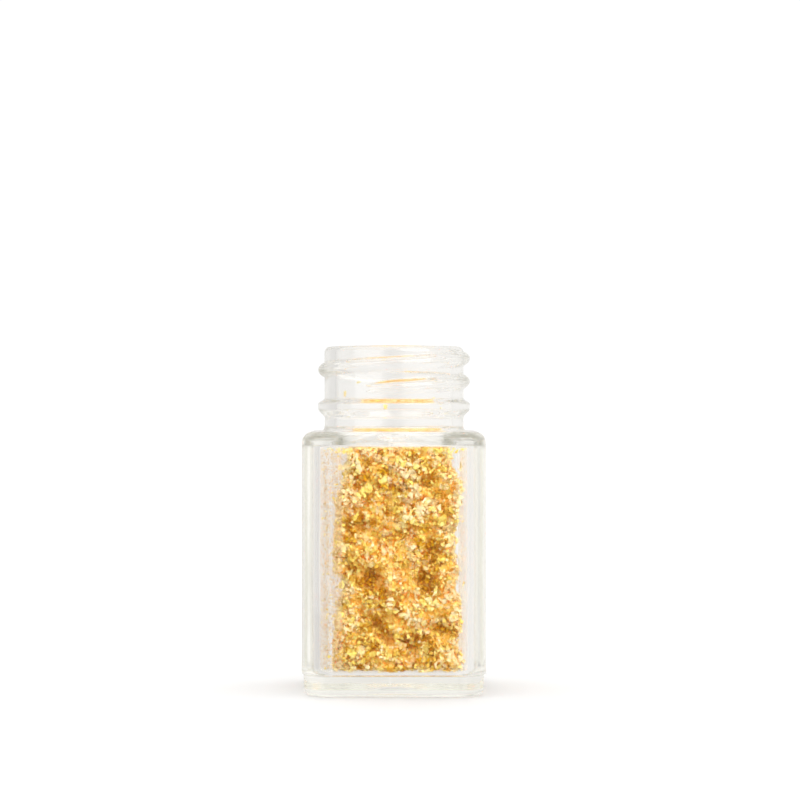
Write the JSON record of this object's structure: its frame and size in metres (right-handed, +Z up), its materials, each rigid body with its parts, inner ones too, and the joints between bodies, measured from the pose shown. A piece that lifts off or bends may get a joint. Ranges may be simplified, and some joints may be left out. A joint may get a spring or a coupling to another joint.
{
  "type": "sample bottle with gold leaf flakes",
  "caption": "Open square glass sample bottle with a screw neck, holding a loose charge of gold leaf flakes.",
  "frame": {"origin": "middle of the base, on the plane that the bottle stands on", "axes": "+Z up along the bottle's axis, out of the mouth; -Y is the front; +X is the wall that the charge leans on"},
  "size_m": [0.0238, 0.0238, 0.045],
  "materials": {
    "clear_glass": "gloss",
    "packed_gold_leaf": "satin",
    "gold_leaf": "satin"
  },
  "bodies": {
    "bottle": {"glass_bottle": "clear_glass", "loose_flake_01": "gold_leaf", "loose_flake_02": "gold_leaf", "loose_flake_03": "gold_leaf", "loose_flake_04": "gold_leaf", "loose_flake_05": "gold_leaf", "loose_flake_06": "gold_leaf", "loose_flake_07": "gold_leaf", "loose_flake_08": "gold_leaf", "loose_flake_09": "gold_leaf", "loose_flake_10": "gold_leaf", "loose_flake_11": "gold_leaf", "loose_flake_12": "gold_leaf", "loose_flake_13": "gold_leaf", "loose_flake_14": "gold_leaf", "loose_flake_15": "gold_leaf", "loose_flake_16": "gold_leaf", "loose_flake_17": "gold_leaf", "loose_flake_18": "gold_leaf", "loose_flake_19": "gold_leaf", "loose_flake_20": "gold_leaf", "loose_flake_21": "gold_leaf", "loose_flake_22": "gold_leaf", "loose_flake_23": "gold_leaf", "loose_flake_24": "gold_leaf", "loose_flake_25": "gold_leaf", "loose_flake_26": "gold_leaf", "loose_flake_27": "gold_leaf", "loose_flake_28": "gold_leaf", "loose_flake_29": "gold_leaf", "loose_flake_30": "gold_leaf", "loose_flake_31": "gold_leaf", "loose_flake_32": "gold_leaf", "loose_flake_33": "gold_leaf", "loose_flake_34": "gold_leaf", "loose_flake_35": "gold_leaf", "loose_flake_36": "gold_leaf", "loose_flake_37": "gold_leaf", "loose_flake_38": "gold_leaf", "loose_flake_39": "gold_leaf"},
    "charge": {"gold_flake_charge": "packed_gold_leaf"}
  },
  "joints": [
    {"name": "charge_shift", "type": "slide", "parent": "bottle", "child": "charge", "axis": [1, 0, 0], "range_m": [-0.0014, 0]}
  ]
}
